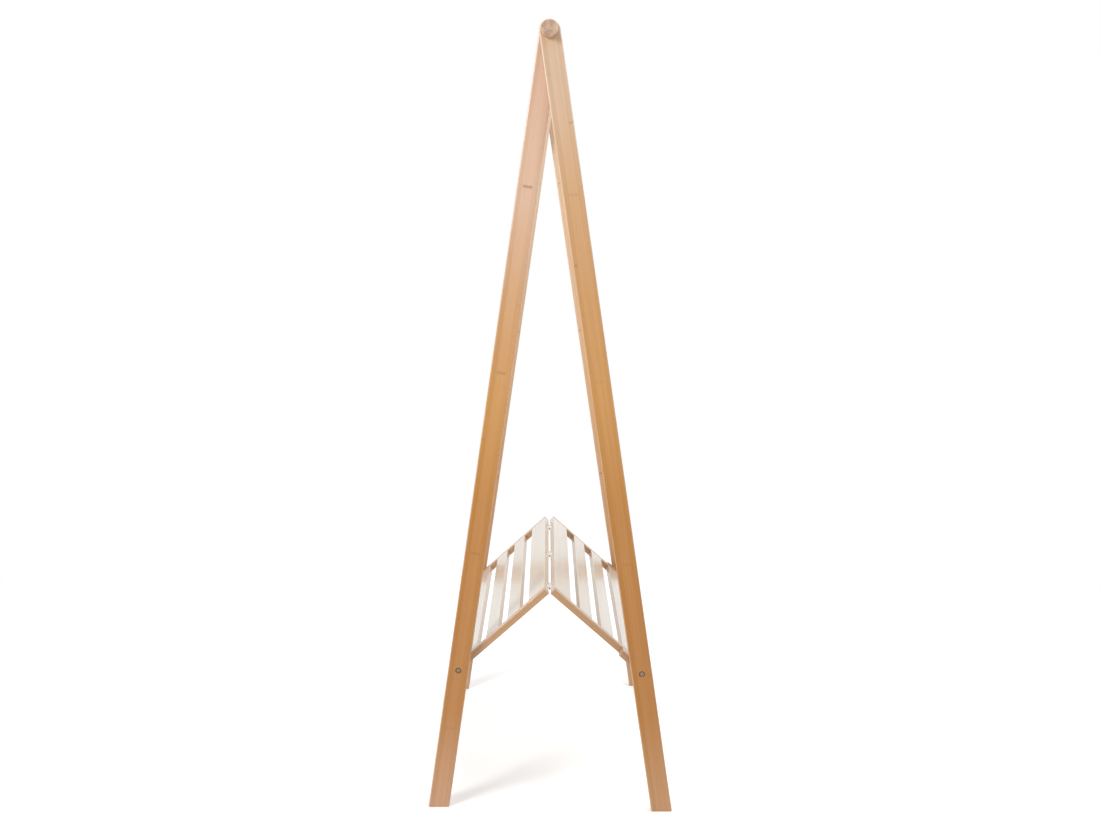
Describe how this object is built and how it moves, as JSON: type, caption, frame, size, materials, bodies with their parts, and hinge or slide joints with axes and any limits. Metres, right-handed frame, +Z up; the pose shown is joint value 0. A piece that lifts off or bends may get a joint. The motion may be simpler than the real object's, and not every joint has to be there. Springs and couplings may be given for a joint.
{
  "type": "folding clothes rack",
  "caption": "Folding A-frame bamboo clothes rack: crossed leg pairs on a round hanging rail, spread by a slatted shelf hinged along its middle, shown half folded.",
  "frame": {"origin": "on the floor under the middle of the hanging rail", "axes": "+X along the hanging rail, +Y towards the feet of the outer legs, +Z up"},
  "size_m": [0.781, 0.4776, 1.514],
  "materials": {
    "bamboo_frame": "clear satin lacquer on laminated bamboo",
    "bamboo_shelf": "clear satin lacquer on laminated bamboo",
    "plated_hinge": "bright nickel plate",
    "steel_fastener": "zinc plated",
    "nylon_washer": "natural nylon"
  },
  "bodies": {
    "outer_frame": {"outer_leg_right": "bamboo_frame", "outer_leg_left": "bamboo_frame", "hanging_rail": "bamboo_frame", "rail_lock_screws": "steel_fastener", "outer_bolt_right": "steel_fastener", "outer_bolt_left": "steel_fastener", "outer_sleeve_nut_right": "steel_fastener", "outer_sleeve_nut_left": "steel_fastener"},
    "top_washers": {"top_washer_right": "nylon_washer", "top_washer_left": "nylon_washer"},
    "inner_frame": {"inner_leg_right": "bamboo_frame", "inner_leg_left": "bamboo_frame", "inner_bolt_right": "steel_fastener", "inner_bolt_left": "steel_fastener", "inner_pivot_washer_right": "nylon_washer", "inner_pivot_washer_left": "nylon_washer"},
    "outer_pivot_washers": {"outer_pivot_washer_right": "nylon_washer", "outer_pivot_washer_left": "nylon_washer"},
    "back_panel": {"back_side_rail_right": "bamboo_shelf", "back_side_rail_left": "bamboo_shelf", "back_slat_1": "bamboo_shelf", "back_slat_2": "bamboo_shelf", "back_slat_3": "bamboo_shelf", "back_slat_4": "bamboo_shelf", "spacer_block_right": "bamboo_shelf", "spacer_block_left": "bamboo_shelf", "spacer_screws": "steel_fastener", "back_hinge_leaf_1": "plated_hinge", "back_hinge_leaf_2": "plated_hinge", "back_hinge_leaf_3": "plated_hinge", "back_hinge_screws": "plated_hinge"},
    "hinge_pins": {"hinge_pin_1": "plated_hinge", "hinge_pin_2": "plated_hinge", "hinge_pin_3": "plated_hinge"},
    "front_panel": {"front_side_rail_right": "bamboo_shelf", "front_side_rail_left": "bamboo_shelf", "front_slat_1": "bamboo_shelf", "front_slat_2": "bamboo_shelf", "front_slat_3": "bamboo_shelf", "front_slat_4": "bamboo_shelf", "front_sleeve_nut_right": "steel_fastener", "front_sleeve_nut_left": "steel_fastener", "front_hinge_leaf_1": "plated_hinge", "front_hinge_leaf_2": "plated_hinge", "front_hinge_leaf_3": "plated_hinge", "front_hinge_screws": "plated_hinge"}
  },
  "joints": [
    {"name": "frame_fold", "type": "hinge", "parent": "outer_frame", "child": "top_washers", "pos_m": [0, 0, 1.4941], "axis": [-1, 0, 0], "range_deg": [-14.51, 0]},
    {"name": "frame_spread", "type": "hinge", "parent": "top_washers", "child": "inner_frame", "pos_m": [0, 0, 1.4941], "axis": [-1, 0, 0], "range_deg": [0, 4.89]},
    {"name": "back_panel_fold", "type": "hinge", "parent": "outer_frame", "child": "outer_pivot_washers", "pos_m": [0, 0.17804, 0.27705], "axis": [1, 0, 0], "range_deg": [-37.77, 0]},
    {"name": "back_panel_spread", "type": "hinge", "parent": "outer_pivot_washers", "child": "back_panel", "pos_m": [0, 0.17804, 0.27705], "axis": [1, 0, 0], "range_deg": [0, 39.08]},
    {"name": "seam_fold", "type": "hinge", "parent": "back_panel", "child": "hinge_pins", "pos_m": [0, 0, 0.42262], "axis": [-1, 0, 0], "range_deg": [-90.02, 0]},
    {"name": "seam_spread", "type": "hinge", "parent": "hinge_pins", "child": "front_panel", "pos_m": [0, 0, 0.42262], "axis": [-1, 0, 0], "range_deg": [0, 83.02]}
  ],
  "couplings": [
    {"joint": "back_panel_fold", "follows": "frame_fold", "ratio": 2.6022},
    {"joint": "back_panel_spread", "follows": "frame_spread", "ratio": 7.9867},
    {"joint": "seam_fold", "follows": "frame_fold", "ratio": 6.2043},
    {"joint": "seam_spread", "follows": "frame_spread", "ratio": 16.973}
  ]
}
